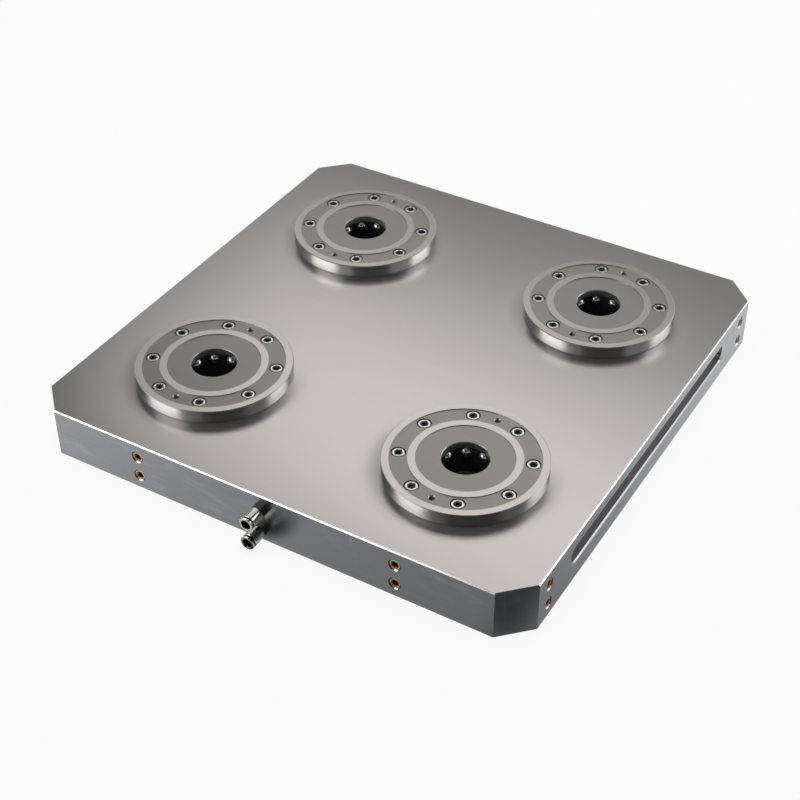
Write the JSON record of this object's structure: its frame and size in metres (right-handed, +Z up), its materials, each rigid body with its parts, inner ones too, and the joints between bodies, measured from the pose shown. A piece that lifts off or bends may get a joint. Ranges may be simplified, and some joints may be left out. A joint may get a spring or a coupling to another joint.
{
  "type": "zero point clamping plate",
  "caption": "Square steel workholding plate with ball-lock modules that grip pull studs by spring force and let go under air pressure, with grooves for clamps in its sides.",
  "frame": {"origin": "centre of the plate's flat underside", "axes": "+Z up out of the modules, -Y out of the face with the air fittings, +X to the right of it"},
  "size_m": [0.475, 0.4963, 0.06],
  "materials": {
    "plate_steel": "ground satin",
    "cover_steel": "turned and ground",
    "screw_steel": "bright",
    "cage_steel": "black oxide",
    "ball_steel": "polished",
    "piston_steel": "turned",
    "spring_steel": "rolled",
    "seal_rubber": "matt",
    "plug_brass": "turned",
    "fitting_nickel": "nickel plated"
  },
  "bodies": {
    "plate": {"base_plate": "plate_steel", "cover_screws": "screw_steel", "cover_seals": "seal_rubber", "channel_plugs": "plug_brass", "fitting_bodies": "fitting_nickel", "tube_seals": "seal_rubber", "cover_1": "cover_steel", "cover_2": "cover_steel", "cover_3": "cover_steel", "cover_4": "cover_steel", "ball_cage_1": "cage_steel", "ball_cage_2": "cage_steel", "ball_cage_3": "cage_steel", "ball_cage_4": "cage_steel", "disc_springs_1": "spring_steel", "disc_springs_2": "spring_steel", "disc_springs_3": "spring_steel", "disc_springs_4": "spring_steel"},
    "piston_1": {"lock_piston_1": "piston_steel", "piston_seals_1": "seal_rubber"},
    "piston_2": {"lock_piston_2": "piston_steel", "piston_seals_2": "seal_rubber"},
    "piston_3": {"lock_piston_3": "piston_steel", "piston_seals_3": "seal_rubber"},
    "piston_4": {"lock_piston_4": "piston_steel", "piston_seals_4": "seal_rubber"},
    "ball_1_1": {"ball_1_1": "ball_steel"},
    "ball_1_2": {"ball_1_2": "ball_steel"},
    "ball_1_3": {"ball_1_3": "ball_steel"},
    "ball_1_4": {"ball_1_4": "ball_steel"},
    "ball_1_5": {"ball_1_5": "ball_steel"},
    "ball_1_6": {"ball_1_6": "ball_steel"},
    "ball_1_7": {"ball_1_7": "ball_steel"},
    "ball_1_8": {"ball_1_8": "ball_steel"},
    "ball_2_1": {"ball_2_1": "ball_steel"},
    "ball_2_2": {"ball_2_2": "ball_steel"},
    "ball_2_3": {"ball_2_3": "ball_steel"},
    "ball_2_4": {"ball_2_4": "ball_steel"},
    "ball_2_5": {"ball_2_5": "ball_steel"},
    "ball_2_6": {"ball_2_6": "ball_steel"},
    "ball_2_7": {"ball_2_7": "ball_steel"},
    "ball_2_8": {"ball_2_8": "ball_steel"},
    "ball_3_1": {"ball_3_1": "ball_steel"},
    "ball_3_2": {"ball_3_2": "ball_steel"},
    "ball_3_3": {"ball_3_3": "ball_steel"},
    "ball_3_4": {"ball_3_4": "ball_steel"},
    "ball_3_5": {"ball_3_5": "ball_steel"},
    "ball_3_6": {"ball_3_6": "ball_steel"},
    "ball_3_7": {"ball_3_7": "ball_steel"},
    "ball_3_8": {"ball_3_8": "ball_steel"},
    "ball_4_1": {"ball_4_1": "ball_steel"},
    "ball_4_2": {"ball_4_2": "ball_steel"},
    "ball_4_3": {"ball_4_3": "ball_steel"},
    "ball_4_4": {"ball_4_4": "ball_steel"},
    "ball_4_5": {"ball_4_5": "ball_steel"},
    "ball_4_6": {"ball_4_6": "ball_steel"},
    "ball_4_7": {"ball_4_7": "ball_steel"},
    "ball_4_8": {"ball_4_8": "ball_steel"},
    "collar_upper": {"release_collar_upper": "fitting_nickel"},
    "collar_lower": {"release_collar_lower": "fitting_nickel"}
  },
  "joints": [
    {"name": "piston_1_stroke", "type": "slide", "parent": "plate", "child": "piston_1", "axis": [0, 0, -1], "range_m": [0, 0.006], "stiffness_N_per_m": 2000, "springref_m": -0.0058, "deforming": ["disc_springs_1"]},
    {"name": "piston_2_stroke", "type": "slide", "parent": "plate", "child": "piston_2", "axis": [0, 0, -1], "range_m": [0, 0.006], "stiffness_N_per_m": 2000, "springref_m": -0.0058, "deforming": ["disc_springs_2"]},
    {"name": "piston_3_stroke", "type": "slide", "parent": "plate", "child": "piston_3", "axis": [0, 0, -1], "range_m": [0, 0.006], "stiffness_N_per_m": 2000, "springref_m": -0.0058, "deforming": ["disc_springs_3"]},
    {"name": "piston_4_stroke", "type": "slide", "parent": "plate", "child": "piston_4", "axis": [0, 0, -1], "range_m": [0, 0.006], "stiffness_N_per_m": 2000, "springref_m": -0.0058, "deforming": ["disc_springs_4"]},
    {"name": "ball_1_1_travel", "type": "slide", "parent": "plate", "child": "ball_1_1", "axis": [0.788, 0.6157, 0], "range_m": [0, 0.0028]},
    {"name": "ball_1_2_travel", "type": "slide", "parent": "plate", "child": "ball_1_2", "axis": [0.1219, 0.9925, 0], "range_m": [0, 0.0028]},
    {"name": "ball_1_3_travel", "type": "slide", "parent": "plate", "child": "ball_1_3", "axis": [-0.6157, 0.788, 0], "range_m": [0, 0.0028]},
    {"name": "ball_1_4_travel", "type": "slide", "parent": "plate", "child": "ball_1_4", "axis": [-0.9925, 0.1219, 0], "range_m": [0, 0.0028]},
    {"name": "ball_1_5_travel", "type": "slide", "parent": "plate", "child": "ball_1_5", "axis": [-0.788, -0.6157, 0], "range_m": [0, 0.0028]},
    {"name": "ball_1_6_travel", "type": "slide", "parent": "plate", "child": "ball_1_6", "axis": [-0.1219, -0.9925, 0], "range_m": [0, 0.0028]},
    {"name": "ball_1_7_travel", "type": "slide", "parent": "plate", "child": "ball_1_7", "axis": [0.6157, -0.788, 0], "range_m": [0, 0.0028]},
    {"name": "ball_1_8_travel", "type": "slide", "parent": "plate", "child": "ball_1_8", "axis": [0.9925, -0.1219, 0], "range_m": [0, 0.0028]},
    {"name": "ball_2_1_travel", "type": "slide", "parent": "plate", "child": "ball_2_1", "axis": [0.8829, 0.4695, 0], "range_m": [0, 0.0028]},
    {"name": "ball_2_2_travel", "type": "slide", "parent": "plate", "child": "ball_2_2", "axis": [0.2924, 0.9563, 0], "range_m": [0, 0.0028]},
    {"name": "ball_2_3_travel", "type": "slide", "parent": "plate", "child": "ball_2_3", "axis": [-0.4695, 0.8829, 0], "range_m": [0, 0.0028]},
    {"name": "ball_2_4_travel", "type": "slide", "parent": "plate", "child": "ball_2_4", "axis": [-0.9563, 0.2924, 0], "range_m": [0, 0.0028]},
    {"name": "ball_2_5_travel", "type": "slide", "parent": "plate", "child": "ball_2_5", "axis": [-0.8829, -0.4695, 0], "range_m": [0, 0.0028]},
    {"name": "ball_2_6_travel", "type": "slide", "parent": "plate", "child": "ball_2_6", "axis": [-0.2924, -0.9563, 0], "range_m": [0, 0.0028]},
    {"name": "ball_2_7_travel", "type": "slide", "parent": "plate", "child": "ball_2_7", "axis": [0.4695, -0.8829, 0], "range_m": [0, 0.0028]},
    {"name": "ball_2_8_travel", "type": "slide", "parent": "plate", "child": "ball_2_8", "axis": [0.9563, -0.2924, 0], "range_m": [0, 0.0028]},
    {"name": "ball_3_1_travel", "type": "slide", "parent": "plate", "child": "ball_3_1", "axis": [0.866, 0.5, 0], "range_m": [0, 0.0028]},
    {"name": "ball_3_2_travel", "type": "slide", "parent": "plate", "child": "ball_3_2", "axis": [0.2588, 0.9659, 0], "range_m": [0, 0.0028]},
    {"name": "ball_3_3_travel", "type": "slide", "parent": "plate", "child": "ball_3_3", "axis": [-0.5, 0.866, 0], "range_m": [0, 0.0028]},
    {"name": "ball_3_4_travel", "type": "slide", "parent": "plate", "child": "ball_3_4", "axis": [-0.9659, 0.2588, 0], "range_m": [0, 0.0028]},
    {"name": "ball_3_5_travel", "type": "slide", "parent": "plate", "child": "ball_3_5", "axis": [-0.866, -0.5, 0], "range_m": [0, 0.0028]},
    {"name": "ball_3_6_travel", "type": "slide", "parent": "plate", "child": "ball_3_6", "axis": [-0.2588, -0.9659, 0], "range_m": [0, 0.0028]},
    {"name": "ball_3_7_travel", "type": "slide", "parent": "plate", "child": "ball_3_7", "axis": [0.5, -0.866, 0], "range_m": [0, 0.0028]},
    {"name": "ball_3_8_travel", "type": "slide", "parent": "plate", "child": "ball_3_8", "axis": [0.9659, -0.2588, 0], "range_m": [0, 0.0028]},
    {"name": "ball_4_1_travel", "type": "slide", "parent": "plate", "child": "ball_4_1", "axis": [0.7193, 0.6947, 0], "range_m": [0, 0.0028]},
    {"name": "ball_4_2_travel", "type": "slide", "parent": "plate", "child": "ball_4_2", "axis": [0.0175, 0.9998, 0], "range_m": [0, 0.0028]},
    {"name": "ball_4_3_travel", "type": "slide", "parent": "plate", "child": "ball_4_3", "axis": [-0.6947, 0.7193, 0], "range_m": [0, 0.0028]},
    {"name": "ball_4_4_travel", "type": "slide", "parent": "plate", "child": "ball_4_4", "axis": [-0.9998, 0.0175, 0], "range_m": [0, 0.0028]},
    {"name": "ball_4_5_travel", "type": "slide", "parent": "plate", "child": "ball_4_5", "axis": [-0.7193, -0.6947, 0], "range_m": [0, 0.0028]},
    {"name": "ball_4_6_travel", "type": "slide", "parent": "plate", "child": "ball_4_6", "axis": [-0.0175, -0.9998, 0], "range_m": [0, 0.0028]},
    {"name": "ball_4_7_travel", "type": "slide", "parent": "plate", "child": "ball_4_7", "axis": [0.6947, -0.7193, 0], "range_m": [0, 0.0028]},
    {"name": "ball_4_8_travel", "type": "slide", "parent": "plate", "child": "ball_4_8", "axis": [0.9998, -0.0175, 0], "range_m": [0, 0.0028]},
    {"name": "collar_upper_press", "type": "slide", "parent": "plate", "child": "collar_upper", "axis": [0, 1, 0], "range_m": [0, 0.0012], "stiffness_N_per_m": 50},
    {"name": "collar_lower_press", "type": "slide", "parent": "plate", "child": "collar_lower", "axis": [0, 1, 0], "range_m": [0, 0.0012], "stiffness_N_per_m": 50}
  ],
  "couplings": [
    {"joint": "piston_2_stroke", "follows": "piston_1_stroke", "ratio": 1},
    {"joint": "piston_3_stroke", "follows": "piston_1_stroke", "ratio": 1},
    {"joint": "piston_4_stroke", "follows": "piston_1_stroke", "ratio": 1},
    {"joint": "ball_1_1_travel", "follows": "piston_1_stroke", "ratio": 0.46666},
    {"joint": "ball_1_2_travel", "follows": "piston_1_stroke", "ratio": 0.46666},
    {"joint": "ball_1_3_travel", "follows": "piston_1_stroke", "ratio": 0.46666},
    {"joint": "ball_1_4_travel", "follows": "piston_1_stroke", "ratio": 0.46666},
    {"joint": "ball_1_5_travel", "follows": "piston_1_stroke", "ratio": 0.46666},
    {"joint": "ball_1_6_travel", "follows": "piston_1_stroke", "ratio": 0.46666},
    {"joint": "ball_1_7_travel", "follows": "piston_1_stroke", "ratio": 0.46666},
    {"joint": "ball_1_8_travel", "follows": "piston_1_stroke", "ratio": 0.46666},
    {"joint": "ball_2_1_travel", "follows": "piston_1_stroke", "ratio": 0.46666},
    {"joint": "ball_2_2_travel", "follows": "piston_1_stroke", "ratio": 0.46666},
    {"joint": "ball_2_3_travel", "follows": "piston_1_stroke", "ratio": 0.46666},
    {"joint": "ball_2_4_travel", "follows": "piston_1_stroke", "ratio": 0.46666},
    {"joint": "ball_2_5_travel", "follows": "piston_1_stroke", "ratio": 0.46666},
    {"joint": "ball_2_6_travel", "follows": "piston_1_stroke", "ratio": 0.46666},
    {"joint": "ball_2_7_travel", "follows": "piston_1_stroke", "ratio": 0.46666},
    {"joint": "ball_2_8_travel", "follows": "piston_1_stroke", "ratio": 0.46666},
    {"joint": "ball_3_1_travel", "follows": "piston_1_stroke", "ratio": 0.46666},
    {"joint": "ball_3_2_travel", "follows": "piston_1_stroke", "ratio": 0.46666},
    {"joint": "ball_3_3_travel", "follows": "piston_1_stroke", "ratio": 0.46666},
    {"joint": "ball_3_4_travel", "follows": "piston_1_stroke", "ratio": 0.46666},
    {"joint": "ball_3_5_travel", "follows": "piston_1_stroke", "ratio": 0.46666},
    {"joint": "ball_3_6_travel", "follows": "piston_1_stroke", "ratio": 0.46666},
    {"joint": "ball_3_7_travel", "follows": "piston_1_stroke", "ratio": 0.46666},
    {"joint": "ball_3_8_travel", "follows": "piston_1_stroke", "ratio": 0.46666},
    {"joint": "ball_4_1_travel", "follows": "piston_1_stroke", "ratio": 0.46666},
    {"joint": "ball_4_2_travel", "follows": "piston_1_stroke", "ratio": 0.46666},
    {"joint": "ball_4_3_travel", "follows": "piston_1_stroke", "ratio": 0.46666},
    {"joint": "ball_4_4_travel", "follows": "piston_1_stroke", "ratio": 0.46666},
    {"joint": "ball_4_5_travel", "follows": "piston_1_stroke", "ratio": 0.46666},
    {"joint": "ball_4_6_travel", "follows": "piston_1_stroke", "ratio": 0.46666},
    {"joint": "ball_4_7_travel", "follows": "piston_1_stroke", "ratio": 0.46666},
    {"joint": "ball_4_8_travel", "follows": "piston_1_stroke", "ratio": 0.46666}
  ]
}
